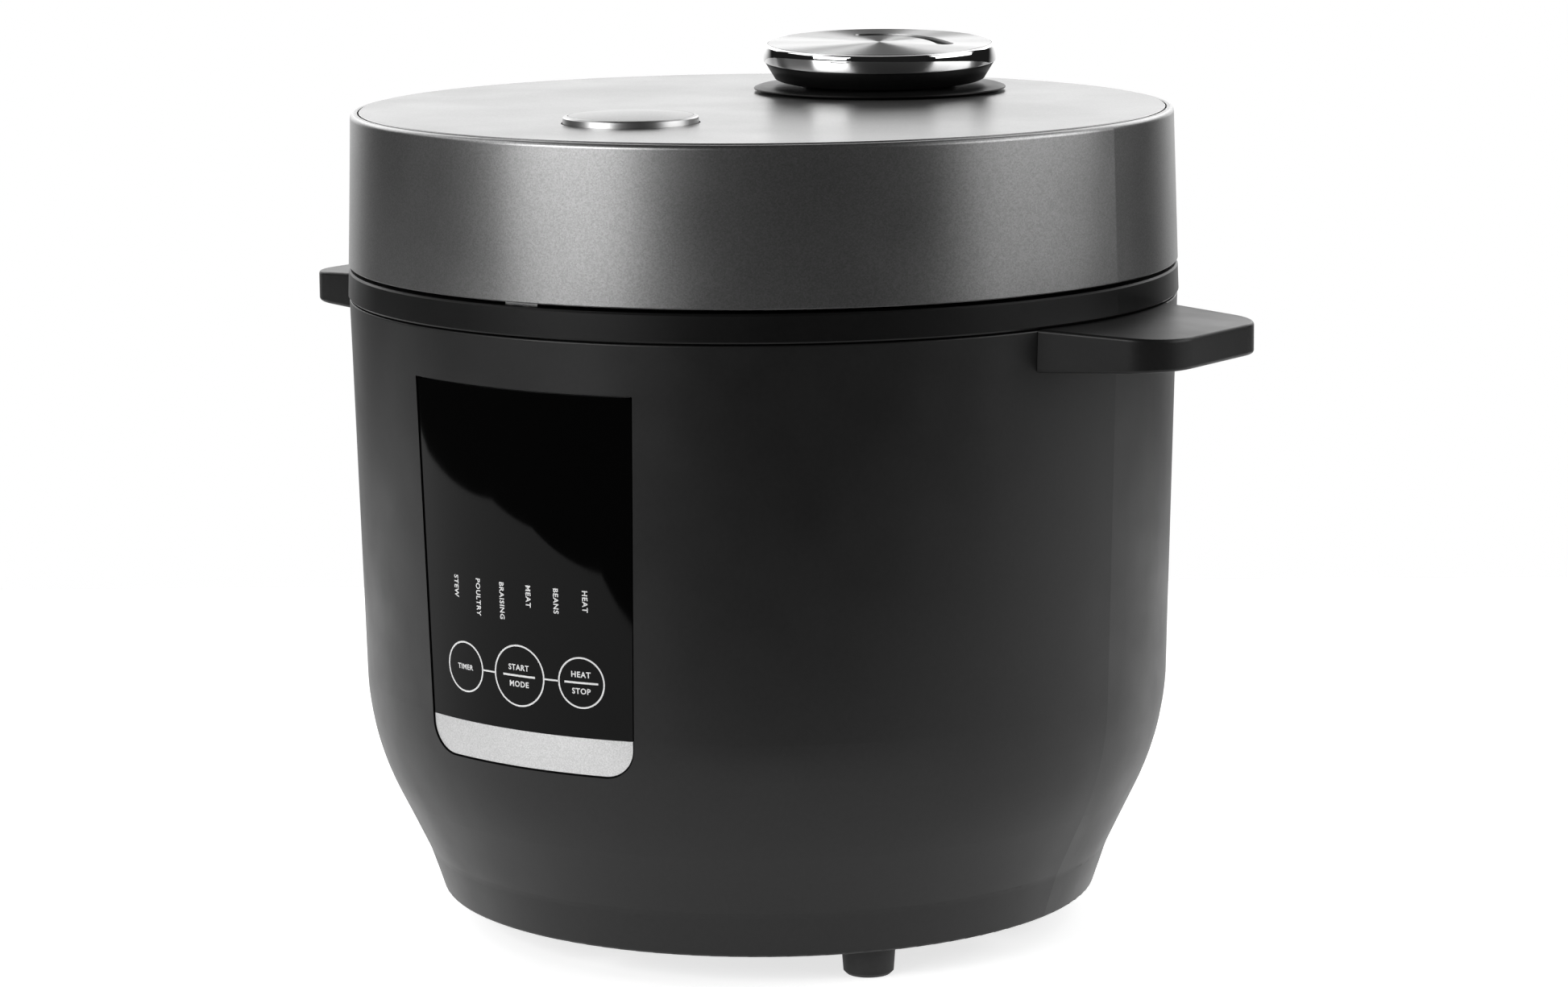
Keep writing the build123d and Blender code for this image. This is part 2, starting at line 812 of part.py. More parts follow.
def knob_point(radius, angle):
    """A point on the knob's top, by distance from its centre and angle from +X."""
    return (radius * cos(radians(angle)), knob_y + radius * sin(radians(angle)))


with BuildPart() as knob_cap:
    turn(
        [(0, 224.9), (30.2, 224.9), (30.2, 226.6), (30.0, knob_top), (0, knob_top)],
        steam_axis,
    )
    # A comma-shaped finger groove that sweeps outwards to a round head.
    groove_outer = [(18.9, 141), (18.7, 118), (17.9, 93), (17.1, 66), (17.7, 42), (20.3, 22)]
    groove_inner = [(14.7, 141), (14.5, 118), (13.8, 93), (13.1, 66), (13.9, 36), (16.4, 14)]
    with BuildSketch(Plane.XY.offset(knob_top - 1.3)) as comma:
        with BuildLine():
            Spline(*[knob_point(radius, angle) for radius, angle in groove_outer])
            Spline(*[knob_point(radius, angle) for radius, angle in groove_inner])
            ThreePointArc(knob_point(18.9, 141), knob_point(16.9, 148.1), knob_point(14.7, 141))
            ThreePointArc(knob_point(20.3, 22), knob_point(19.6, 13), knob_point(16.4, 14))
        make_face()
    extrude(comma.sketch, amount=2, mode=Mode.SUBTRACT)
knob_cap_set = seat_knob(knob_cap.part)
knob_cap_set.label = "knob_cap"
export_step(knob_cap_set, "parts/knob_cap.step")


# ---- opening button and latch ----
button_axis = (0, button_y)

with BuildPart() as button_guide:
    turn(
        [
            (3.1, 196.0),
            (19.4, 196.0),
            (19.4, 211.3),
            (17.9, 211.3),
            (17.9, 198.0),
            (3.1, 198.0),
        ],
        button_axis,
    )
button_guide.part.label = "button_guide"
export_step(button_guide.part, "parts/button_guide.step")

with BuildPart() as button_ring:
    turn(
        [
            (15.9, 206.5),
            (17.2, 206.5),
            (17.2, 213.8),
            (16.4, 215.6),
            (15.9, 215.6),
        ],
        button_axis,
    )
button_ring.part.label = "button_ring"
export_step(button_ring.part, "parts/button_ring.step")

with BuildPart() as button_cap:
    button_plane = Plane(origin=(*button_axis, 0), x_dir=(1, 0, 0), z_dir=(0, -1, 0))
    with BuildSketch(button_plane) as cap_section:
        with BuildLine():
            ThreePointArc((0, 216.4), (8, 216.2), (15.8, 215.6))
            Polyline(
                (15.8, 215.6), (15.8, 207.2), (13.8, 207.2), (13.8, 213.6), (0, 214.4), (0, 216.4)
            )
        make_face()
    revolve(axis=Axis((*button_axis, 0), (0, 0, 1)))
button_cap.part.label = "button_cap"
export_step(button_cap.part, "parts/button_cap.step")

with BuildPart() as button_stem:
    turn(
        [(0, 187.8), (3, 187.8), (3, 205.0), (13.5, 205.0), (13.5, 207.0), (0, 207.0)],
        button_axis,
    )
button_stem.part.label = "button_stem"
export_step(button_stem.part, "parts/button_stem.step")

with BuildPart() as button_spring:
    turn([(4.2, 198.1), (5.6, 198.1), (5.6, 204.9), (4.2, 204.9)], button_axis)
button_spring.part.label = "button_spring"
export_step(button_spring.part, "parts/button_spring.step")

with BuildPart() as latch_hook:
    block((-5, 5), (-102.2, -54), (184.5, 187.5))
    block((-5, 5), (-102.2, -100.4), (168.6, 187.5))
    block((-5, 5), (-100.5, -98.9), (168.6, 170.6))
    bar_x(3.6, (-6.5, 6.5), latch_y, latch_z)
    bar_x(1.56, (-10, 10), latch_y, latch_z, mode=Mode.SUBTRACT)
latch_hook.part.label = "latch_hook"
export_step(latch_hook.part, "parts/latch_hook.step")

with BuildPart() as latch_pin:
    bar_x(1.5, (-10.5, 10.5), latch_y, latch_z)
latch_pin.part.label = "latch_pin"
export_step(latch_pin.part, "parts/latch_pin.step")


# ---- float valve ----
float_axis = (float_x, float_y)

with BuildPart() as float_grommet:
    turn([(3.1, 170.6), (6.4, 170.6), (6.4, 178.0), (3.1, 178.0)], float_axis)
float_grommet.part.label = "float_grommet"
export_step(float_grommet.part, "parts/float_grommet.step")

with BuildPart() as float_pin:
    turn(
        [(0, 164.0), (4.5, 164.0), (5, 164.5), (5, 165.6), (2.8, 166.2), (2.8, 186.0), (0, 186.0)],
        float_axis,
    )
float_pin.part.label = "float_pin"
export_step(float_pin.part, "parts/float_pin.step")


# ---- fasteners of the case ----
with BuildPart() as case_screws:
    for angle in range(0, 360, 90):
        centre = (72 * cos(radians(angle)), 72 * sin(radians(angle)))
        post(1.8, (8.5, 37.8), centre)
        post(3.4, (6.9, 8.5), centre)
    for screw_side in (-1, 1):
        for screw_y in (-20, 20):
            head = sorted((screw_side * 98.4, screw_side * 100.5))
            shank = sorted((screw_side * 100.5, screw_side * 116.0))
            bar_x(3.6, head, screw_y, 161)
            bar_x(1.8, shank, screw_y, 161)
case_screws.part.label = "case_screws"
export_step(case_screws.part, "parts/case_screws.step")
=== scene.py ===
"""The looks of the pressure cooker: materials, panel print, turned rims, springs and studio.

Lengths are in metres unless they are multiplied by MM or a comment says otherwise. The cooker
stands on z = 0, its control window faces -Y and its hinge is at +Y.
"""
import json
import math

import bmesh
import bpy
from mathutils import Matrix, Vector
from mathutils.bvhtree import BVHTree


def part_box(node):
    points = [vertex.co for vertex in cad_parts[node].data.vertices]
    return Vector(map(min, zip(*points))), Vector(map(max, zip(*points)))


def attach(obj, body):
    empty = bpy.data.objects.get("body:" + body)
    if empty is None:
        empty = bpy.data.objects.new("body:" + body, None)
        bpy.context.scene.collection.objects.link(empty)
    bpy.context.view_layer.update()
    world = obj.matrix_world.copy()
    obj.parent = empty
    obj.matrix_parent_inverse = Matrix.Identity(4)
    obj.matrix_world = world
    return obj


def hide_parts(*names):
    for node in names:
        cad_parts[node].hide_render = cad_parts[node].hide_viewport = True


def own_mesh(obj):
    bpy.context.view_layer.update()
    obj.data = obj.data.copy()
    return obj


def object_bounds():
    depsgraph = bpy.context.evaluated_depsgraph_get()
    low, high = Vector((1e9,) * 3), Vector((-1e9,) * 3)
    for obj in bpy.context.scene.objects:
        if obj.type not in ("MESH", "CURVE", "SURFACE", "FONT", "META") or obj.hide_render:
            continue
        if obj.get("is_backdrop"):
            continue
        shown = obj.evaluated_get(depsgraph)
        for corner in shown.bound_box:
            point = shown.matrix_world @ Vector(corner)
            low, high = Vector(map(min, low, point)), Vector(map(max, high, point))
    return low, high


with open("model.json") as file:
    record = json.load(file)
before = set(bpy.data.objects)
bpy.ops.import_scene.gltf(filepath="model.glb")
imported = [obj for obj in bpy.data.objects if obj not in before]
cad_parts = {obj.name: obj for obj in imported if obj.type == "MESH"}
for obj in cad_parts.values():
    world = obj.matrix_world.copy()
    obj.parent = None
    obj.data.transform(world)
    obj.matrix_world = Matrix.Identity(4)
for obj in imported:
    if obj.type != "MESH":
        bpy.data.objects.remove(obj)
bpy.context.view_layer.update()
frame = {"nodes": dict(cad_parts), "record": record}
nodes = frame["nodes"]

MM = 0.001

# The knob leans a little on its seat, and its parts lean with it. Its place is in millimetres.
KNOB_Y, KNOB_SEAT_Z = 54.9, 217.0
LEAN_ANGLE = math.radians(2.6)
LEAN_HINGE = Vector((0.8141, 0.5807, 0))  # the level direction about which the knob leans
knob_seat = Vector((0, KNOB_Y, KNOB_SEAT_Z)) * MM
KNOB_LEAN = (
    Matrix.Translation(knob_seat)
    @ Matrix.Rotation(LEAN_ANGLE, 4, LEAN_HINGE)
    @ Matrix.Translation(-knob_seat)
)
KNOB_AXIS = KNOB_LEAN.to_3x3() @ Vector((0, 0, 1))

# The knob's finger groove has painted shade: its colour is dark below the first of these and bright
# above the second.
# Both are distances from the origin along the knob's axis.
GROOVE_SHADE_FULL = 0.2237
GROOVE_SHADE_NONE = 0.2243

# Noise seldom leaves this band, so it is stretched over the whole of a material's range.
NOISE_LOW, NOISE_HIGH = 0.3, 0.7


# ---- node helpers ----
def principled(mat):
    return mat.node_tree.nodes["Principled BSDF"]


def make_material(name, colour, roughness, metallic=0.0, **sockets):
    """A Principled material; sockets are further values for the shader, by name with _ for spaces."""
    mat = bpy.data.materials.new(name)
    mat.use_nodes = True
    shader = principled(mat)
    shader.inputs["Base Color"].default_value = (*colour, 1.0)
    shader.inputs["Metallic"].default_value = metallic
    shader.inputs["Roughness"].default_value = roughness
    for key, value in sockets.items():
        shader.inputs[key.replace("_", " ")].default_value = value
    return mat


def grey(level):
    return (level, level, level)


def add(owner, kind, **inputs):
    """A new node for a material or the world; inputs are its values, by name with _ for spaces."""
    node = owner.node_tree.nodes.new(kind)
    for key, value in inputs.items():
        node.inputs[key.replace("_", " ")].default_value = value
    return node


def link(owner, source, target):
    owner.node_tree.links.new(source, target)


def place(mat, scale=(1, 1, 1)):
    """Object coordinates in metres, stretched by scale."""
    coords = add(mat, "ShaderNodeTexCoord")
    mapping = add(mat, "ShaderNodeMapping", Scale=scale)
    link(mat, coords.outputs["Object"], mapping.inputs["Vector"])
    return mapping.outputs["Vector"]


def texture(mat, kind, output, stretch=(1, 1, 1), **inputs):
    """One output of a texture that lies in object coordinates."""
    tex = add(mat, kind, **inputs)
    link(mat, place(mat, stretch), tex.inputs["Vector"])
    return tex.outputs[output]


def noise(mat, scale, detail=2.0, stretch=(1, 1, 1)):
    return texture(mat, "ShaderNodeTexNoise", "Fac", stretch, Scale=scale, Detail=detail)


def between(owner, value, low, high, start, end):
    """A node that maps value, from start..end to low..high."""
    ramp = add(owner, "ShaderNodeMapRange", From_Min=start, From_Max=end, To_Min=low, To_Max=high)
    link(owner, value, ramp.inputs["Value"])
    return ramp


def vary_roughness(mat, value, low, high):
    ramp = between(mat, value, low, high, NOISE_LOW, NOISE_HIGH)
    link(mat, ramp.outputs["Result"], principled(mat).inputs["Roughness"])


def vary_colour(mat, value, dark, light, start=NOISE_LOW, end=NOISE_HIGH):
    """Base colour between two colours by value."""
    mix = add(mat, "ShaderNodeMix")
    mix.data_type = "RGBA"
    mix.inputs["A"].default_value = (*dark, 1.0)
    mix.inputs["B"].default_value = (*light, 1.0)
    ramp = between(mat, value, 0.0, 1.0, start, end)
    link(mat, ramp.outputs["Result"], mix.inputs["Factor"])
    link(mat, mix.outputs["Result"], principled(mat).inputs["Base Color"])


def bump(mat, value, depth):
    """Relief of the given depth in metres."""
    node = add(mat, "ShaderNodeBump", Strength=1.0, Distance=depth)
    link(mat, value, node.inputs["Height"])
    link(mat, node.outputs["Normal"], principled(mat).inputs["Normal"])


# ---- materials ----
def moulded(name, level, roughness, grain_depth=0.6e-5, grain=2600, **sockets):
    """Moulded or sprayed plastic: fine spark texture, faint cloudiness in its sheen."""
    mat = make_material(name, grey(level), roughness, **sockets)
    vary_roughness(mat, noise(mat, 55, 4), roughness - 0.03, roughness + 0.04)
    vary_colour(mat, noise(mat, 900, 3), grey(level * 0.88), grey(level * 1.12))
    bump(mat, noise(mat, grain, 3), grain_depth)
    return mat


def flake_paint(name, level, roughness, flake=3200):
    """Metallic paint: aluminium flakes of slightly different brightness and tilt."""
    mat = make_material(name, grey(level), roughness, metallic=0.9)
    cell = texture(mat, "ShaderNodeTexVoronoi", "Color", Scale=flake)
    vary_colour(mat, cell, grey(level * 0.82), grey(level * 1.2), 0.0, 1.0)
    vary_roughness(mat, noise(mat, 40, 3), roughness - 0.02, roughness + 0.02)
    bump(mat, cell, 0.35e-5)
    return mat


def brushed(name, level, roughness, stretch=(1, 1, 40)):
    """Metal with fine drawn lines across the axis with the largest stretch."""
    mat = make_material(name, grey(level), roughness, metallic=1.0)
    lines = noise(mat, 420, 4, stretch)
    vary_roughness(mat, lines, roughness - 0.06, roughness + 0.08)
    vary_colour(mat, lines, grey(level * 0.92), grey(min(1.0, level * 1.05)))
    bump(mat, lines, 0.4e-5)
    return mat


def polished(name, colour, roughness, scale, detail, smooth, dull):
    """Bare metal with no grain, whose polish varies between smooth and dull."""
    mat = make_material(name, colour, roughness, metallic=1.0)
    vary_roughness(mat, noise(mat, scale, detail), smooth, dull)
    return mat


def dyed(name, roughness, scale, dark, light):
    """Coloured plastic or ink that is a little uneven between two colours."""
    middle = [(low + high) / 2 for low, high in zip(dark, light)]
    mat = make_material(name, middle, roughness)
    vary_colour(mat, noise(mat, scale), dark, light)
    return mat


def window_plastic():
    """Near-black gloss with a very slight waviness."""
    mat = make_material("window_gloss", grey(0.0012), 0.035, Specular_IOR_Level=0.10)
    vary_roughness(mat, noise(mat, 35, 5), 0.02, 0.05)
    bump(mat, noise(mat, 22, 1), 0.3e-5)
    return mat


def spun_knob_metal():
    """Turned metal: its sheen spreads across the fine rings round the knob's axis, and painted shade
    darkens its finger groove.
    """
    level = 0.56
    mat = make_material(
        "spun_metal", grey(level), 0.54, metallic=1.0, Anisotropic=0.9, Anisotropic_Rotation=0.25
    )
    tangent = add(mat, "ShaderNodeTangent")
    tangent.direction_type = "RADIAL"
    tangent.axis = "Z"
    link(mat, tangent.outputs["Tangent"], principled(mat).inputs["Tangent"])
    along_axis = add(mat, "ShaderNodeVectorMath")
    along_axis.operation = "DOT_PRODUCT"
    along_axis.inputs[1].default_value = KNOB_AXIS
    link(mat, place(mat), along_axis.inputs[0])
    distance = along_axis.outputs["Value"]
    # Painted shade in the finger groove: the colour goes nearly black below the groove's rim.
    vary_colour(mat, distance, grey(0.03), grey(level), GROOVE_SHADE_FULL, GROOVE_SHADE_NONE)
    return mat


def printed_board():
    """Green board with a lighter net of traces."""
    mat = make_material("circuit_board", (0.010, 0.095, 0.030), 0.34)
    traces = texture(mat, "ShaderNodeTexBrick", "Fac", Scale=140.0)
    vary_colour(mat, traces, (0.008, 0.075, 0.024), (0.03, 0.18, 0.06), 0, 1)
    return mat


def three_wires():
    """Brown, yellow-green and blue covers, chosen by where a wire lies from left to right."""
    brown, green, blue = (0.10, 0.030, 0.010, 1), (0.16, 0.30, 0.03, 1), (0.012, 0.04, 0.20, 1)
    mat = make_material("wire_cover", (0.10, 0.035, 0.012), 0.42)
    across = add(mat, "ShaderNodeSeparateXYZ")
    link(mat, place(mat), across.inputs["Vector"])
    steps = add(mat, "ShaderNodeValToRGB")
    ramp = steps.color_ramp
    ramp.interpolation = "CONSTANT"
    ramp.elements[0].color = brown
    ramp.elements[1].position = 0.4
    ramp.elements[1].color = green
    ramp.elements.new(0.62).color = blue
    position = between(mat, across.outputs["X"], 0, 1, -0.03, 0.03)
    link(mat, position.outputs["Result"], steps.inputs["Fac"])
    link(mat, steps.outputs["Color"], principled(mat).inputs["Base Color"])
    return mat


trim_black = moulded(
    "trim_black", 0.0045, 0.38, grain_depth=0.8e-5, grain=1900, Specular_IOR_Level=0.13
)
handle_black = moulded(
    "handle_black", 0.0085, 0.37, grain_depth=0.7e-5, grain=1900, Specular_IOR_Level=0.20
)
rubber = moulded("rubber", 0.0110, 0.62, grain_depth=1.5e-5, grain=1500, Specular_IOR_Level=0.35)
silicone = moulded(
    "silicone",
    0.42,
    0.44,
    grain_depth=0.5e-5,
    grain=900,
    Subsurface_Weight=0.15,
    Subsurface_Scale=0.003,
)
spring_steel = brushed("spring_steel", 0.48, 0.26)
chrome = polished("chrome", grey(0.86), 0.04, scale=60, detail=4, smooth=0.025, dull=0.06)
satin_chrome = polished("satin_chrome", grey(0.42), 0.35, scale=60, detail=4, smooth=0.32, dull=0.38)
brass = polished("brass", (0.72, 0.49, 0.20), 0.3, scale=500, detail=3, smooth=0.22, dull=0.4)
print_white = dyed("print_white", 0.45, scale=2500, dark=grey(0.54), light=grey(0.66))
float_red = dyed("float_red", 0.36, scale=700, dark=(0.44, 0.024, 0.02), light=(0.56, 0.032, 0.026))

BY_SLOT = {
    "barrel_black": moulded("barrel_black", 0.0075, 0.38, Specular_IOR_Level=0.27),
    "trim_black": trim_black,
    "rubber": rubber,
    "window_gloss": window_plastic(),
    "silver_trim": flake_paint("silver_trim", 0.51, 0.38, flake=4200),
    "inner_plastic": moulded("inner_plastic", 0.060, 0.48, grain_depth=1.0e-5, grain=1700),
    "circuit_board": printed_board(),
    "spring_steel": spring_steel,
    "pot_aluminium": brushed("pot_aluminium", 0.50, 0.36, stretch=(1, 1, 14)),
    "steel": brushed("steel", 0.56, 0.30),
    "relay_plastic": moulded("relay_plastic", 0.020, 0.42),
    "brass": brass,
    "wire_cover": three_wires(),
    "lid_grey": flake_paint("lid_grey", 0.235, 0.31),
    "silicone": silicone,
    "chrome": chrome,
    "spun_metal": spun_knob_metal(),
    "float_red": float_red,
}

slot_of = {entry["node"]: entry["material_slot"] for entry in frame["record"]["subparts"]}
for name, obj in nodes.items():
    if not obj.data.materials:
        obj.data.materials.append(None)
    for index in range(len(obj.material_slots)):
        obj.material_slots[index].material = BY_SLOT[slot_of[name]]
for side in ("left", "right"):
    nodes["handle_" + side].material_slots[0].material = handle_black

polished_edge = nodes["control_window"].modifiers.new("polished_edge", "BEVEL")
polished_edge.width = 0.3 * MM
polished_edge.segments = 2
polished_edge.limit_method = "ANGLE"
polished_edge.angle_limit = math.radians(60)


# ---- pieces ----
def piece(name, mesh, mat, body):
    obj = bpy.data.objects.new(name, mesh)
    bpy.context.scene.collection.objects.link(obj)
    mesh.materials.append(mat)
    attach(obj, body)
    return obj


# ---- print on the control window ----
INK = 0.04 * MM  # half the ink's thickness
LINE = 0.42 * MM  # width of the rings and the lines between them
DASH = 0.5 * MM  # width of the dashes
PRINT = 1.5 * MM  # height of the lettering
TIMER_PRINT = 1.35 * MM
WRAP_R = 106.4 * MM  # radius at which distances across the window are measured
OUTSIDE = 0.2  # from the axis, well clear of the window

KEY_Z = 80.5 * MM
KEY_PITCH = 18.4 * MM
SIDE_KEY_R = 6.3 * MM
MIDDLE_KEY_R = 7.65 * MM
WORD_GAP = 2.1 * MM  # from a key's middle to the middle of the word above or below its dash
MIDDLE_DASH, SIDE_DASH = 5.0 * MM, 4.7 * MM  # half their lengths

KEY_WORDS = (
    # word, height, across, above the keys' middle
    ("TIMER", TIMER_PRINT, -KEY_PITCH, 0),
    ("START", PRINT, 0, WORD_GAP),
    ("MODE", PRINT, 0, -WORD_GAP),
    ("HEAT", PRINT, KEY_PITCH, WORD_GAP),
    ("STOP", PRINT, KEY_PITCH, -WORD_GAP),
)
PROGRAMMES_Z = 103.7 * MM
PROGRAMMES = (
    # word, degrees from the window's middle
    ("STEW", -11.1),
    ("POULTRY", -6.8),
    ("BRAISING", -2.5),
    ("MEAT", 2.0),
    ("BEANS", 6.4),
    ("HEAT", 10.8),
)

window_skin = BVHTree.FromObject(nodes["control_window"], bpy.context.evaluated_depsgraph_get())


def on_window(u, z, lift):
    """A point of the panel's print: u across from the middle, z up from the worktop."""
    angle = u / WRAP_R
    outward = Vector((math.sin(angle), -math.cos(angle), 0))
    start = outward * OUTSIDE + Vector((0, 0, z))
    hit = window_skin.ray_cast(start, -outward)[0]
    return hit + outward * lift


def ribbon(bm, points, width, closed):
    """A flat printed line along points (u, z), as a thin band on the panel."""
    count = len(points)
    rings = []
    for i, (u, z) in enumerate(points):
        before = points[(i - 1) % count] if closed or i > 0 else points[i]
        after = points[(i + 1) % count] if closed or i < count - 1 else points[i]
        along = Vector((after[0] - before[0], after[1] - before[1])).normalized()
        side = Vector((-along.y, along.x)) * width / 2
        ring = [
            on_window(u + side.x, z + side.y, -INK),
            on_window(u + side.x, z + side.y, INK),
            on_window(u - side.x, z - side.y, INK),
            on_window(u - side.x, z - side.y, -INK),
        ]
        rings.append([bm.verts.new(p) for p in ring])
    for i in range(count if closed else count - 1):
        a, b = rings[i], rings[(i + 1) % count]
        for k in range(4):
            bm.faces.new((a[k], a[(k + 1) % 4], b[(k + 1) % 4], b[k]))
    if not closed:
        bm.faces.new(rings[0])
        bm.faces.new(reversed(rings[-1]))


def circle_points(u, z, radius):
    count = 72
    turn = [2 * math.pi * i / count for i in range(count)]
    return [(u + radius * math.cos(a), z + radius * math.sin(a)) for a in turn]


def level_points(u0, u1, z, count):
    return [(u0 + (u1 - u0) * i / (count - 1), z) for i in range(count)]


def letter_mesh(text):
    """The text as a thick mesh with its front above z = 0 and its back below; not yet to size."""
    curve = bpy.data.curves.new("lettering", "FONT")
    curve.body = text
    curve.size = 1.0
    curve.extrude = 0.5
    curve.offset = 0.022
    curve.space_character = 1.12
    curve.resolution_u = 3
    holder = bpy.data.objects.new("lettering", curve)
    bpy.context.scene.collection.objects.link(holder)
    bpy.context.view_layer.update()
    mesh = bpy.data.meshes.new_from_object(holder)
    bpy.data.objects.remove(holder)
    bpy.data.curves.remove(curve)
    return mesh


def wording(bm, text, height, u, z, downward=False):
    """Generic words in thin ink, centred on (u, z), or starting there and reading downward."""
    mesh = letter_mesh(text)
    xs = [v.co.x for v in mesh.vertices]
    ys = [v.co.y for v in mesh.vertices]
    scale = height / (max(ys) - min(ys))
    mid_x, mid_y = (max(xs) + min(xs)) / 2, (max(ys) + min(ys)) / 2
    for v in mesh.vertices:
        lift = INK if v.co.z > 0 else -INK
        if downward:
            du, dz = (v.co.y - mid_y) * scale, -(v.co.x - min(xs)) * scale
        else:
            du, dz = (v.co.x - mid_x) * scale, (v.co.y - mid_y) * scale
        v.co = on_window(u + du, z + dz, lift)
    bm.from_mesh(mesh)
    bpy.data.meshes.remove(mesh)


def print_piece(name, bm):
    """Makes a printed piece of what bm holds."""
    bmesh.ops.recalc_face_normals(bm, faces=bm.faces)
    mesh = bpy.data.meshes.new(name)
    bm.to_mesh(mesh)
    bm.free()
    for polygon in mesh.polygons:
        polygon.use_smooth = False
    piece(name, mesh, print_white, "root")


# Touch keys: three rings joined by short lines, two of them with a dash between their words.
bm = bmesh.new()
for u, radius in ((-KEY_PITCH, SIDE_KEY_R), (0, MIDDLE_KEY_R), (KEY_PITCH, SIDE_KEY_R)):
    ribbon(bm, circle_points(u, KEY_Z, radius), LINE, True)
for side in (-1, 1):
    joining_line = level_points(side * MIDDLE_KEY_R, side * (KEY_PITCH - SIDE_KEY_R), KEY_Z, 6)
    ribbon(bm, joining_line, LINE, False)
for u, half_length in ((0, MIDDLE_DASH), (KEY_PITCH, SIDE_DASH)):
    ribbon(bm, level_points(u - half_length, u + half_length, KEY_Z, 12), DASH, False)
print_piece("key_rings", bm)

bm = bmesh.new()
for word, height, u, rise in KEY_WORDS:
    wording(bm, word, height, u, KEY_Z + rise)
print_piece("key_words", bm)

bm = bmesh.new()
for word, degrees in PROGRAMMES:
    wording(bm, word, PRINT, math.radians(degrees) * WRAP_R, PROGRAMMES_Z, downward=True)
print_piece("programme_words", bm)


# ---- turned parts with crisp rims ----
LATHE_STEPS = 180
CRISP = math.radians(32)  # edges that turn by more than this stay sharp
SAME_POINT = 1e-7  # points closer together than this are one


def lathe(name, profile, centre_y, mat, body, hidden, lean=None):
    """A turned ring from a closed half section of (radius, height) in millimetres."""
    bm = bmesh.new()
    rings = []
    for step in range(LATHE_STEPS):
        a = 2 * math.pi * step / LATHE_STEPS
        ring = [Vector((r * math.cos(a), centre_y + r * math.sin(a), z)) * MM for r, z in profile]
        rings.append([bm.verts.new(point) for point in ring])
    count = len(profile)
    for step in range(LATHE_STEPS):
        here, there = rings[step], rings[(step + 1) % LATHE_STEPS]
        for k in range(count):
            after = (k + 1) % count
            if profile[k][0] > 0 or profile[after][0] > 0:
                bm.faces.new((here[k], here[after], there[after], there[k]))
    bmesh.ops.remove_doubles(bm, verts=bm.verts, dist=SAME_POINT)
    bmesh.ops.dissolve_degenerate(bm, edges=bm.edges, dist=SAME_POINT)
    bmesh.ops.recalc_face_normals(bm, faces=bm.faces)
    for edge in bm.edges:
        edge.smooth = len(edge.link_faces) == 2 and edge.calc_face_angle() < CRISP
    mesh = bpy.data.meshes.new(name)
    bm.to_mesh(mesh)
    bm.free()
    for polygon in mesh.polygons:
        polygon.use_smooth = True
    if lean:
        mesh.transform(lean)
    obj = piece(name, mesh, mat, body)
    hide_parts(hidden)


# Radii and heights of the turned parts, in millimetres.
BAND_R, BAND_LIP_R, BAND_BORE_R = 31.4, 30.3, 26.0
BAND_BOTTOM, BAND_LEDGE, BAND_TOP = 221.9, 224.8, 226.65

NECK_R, NECK_WAIST_R, NECK_UNDERCUT_R = 30.8, 28.0, 26.6
SLEEVE_R, SLEEVE_BORE_R = 20.5, 18.5
SLEEVE_FOOT, NECK_FOOT, NECK_UNDERSIDE, NECK_TOP = 206.9, 217.2, 219.6, 221.8

SKIRT_R, SKIRT_UNDERSIDE_R = 34.0, 31.5
CUP_R, CUP_INNER_R, CUP_BORE_R = 23.8, 22.0, 10.0
CUP_BOTTOM, CUP_FLOOR, SKIRT_UNDERSIDE, SKIRT_TOP = 203.0, 204.6, 213.9, 215.5

BUTTON_Y = -56.8
BUTTON_R, BUTTON_BORE_R = 17.2, 15.9
BUTTON_BOTTOM, BUTTON_TOP = 206.5, 215.6

lathe(
    "knob_band",
    (
        (BAND_BORE_R, BAND_BOTTOM),
        (BAND_R - 0.4, BAND_BOTTOM),
        (BAND_R - 0.12, BAND_BOTTOM + 0.12),
        (BAND_R, BAND_BOTTOM + 0.4),
        (BAND_R, BAND_TOP - 0.65),
        (BAND_R - 0.07, BAND_TOP - 0.33),
        (BAND_R - 0.28, BAND_TOP - 0.09),
        (BAND_R - 0.6, BAND_TOP),
        (BAND_LIP_R, BAND_TOP),
        (BAND_LIP_R, BAND_LEDGE),
        (BAND_BORE_R, BAND_LEDGE),
    ),
    centre_y=KNOB_Y,
    mat=chrome,
    body="knob",
    hidden="knob_rim",
    lean=KNOB_LEAN,
)
lathe(
    "knob_neck",
    (
        (0, NECK_TOP),
        (NECK_R, NECK_TOP),
        (NECK_R, NECK_TOP - 0.3),
        (NECK_WAIST_R + 0.35, NECK_FOOT + 0.2),
        (NECK_WAIST_R, NECK_FOOT),
        (NECK_UNDERCUT_R, NECK_FOOT),
        (NECK_WAIST_R, NECK_UNDERSIDE),
        (SLEEVE_R, NECK_UNDERSIDE),
        (SLEEVE_R, SLEEVE_FOOT),
        (SLEEVE_BORE_R, SLEEVE_FOOT),
        (SLEEVE_BORE_R, NECK_UNDERSIDE),
        (0, NECK_UNDERSIDE),
    ),
    centre_y=KNOB_Y,
    mat=trim_black,
    body="knob",
    hidden="knob_grip",
    lean=KNOB_LEAN,
)
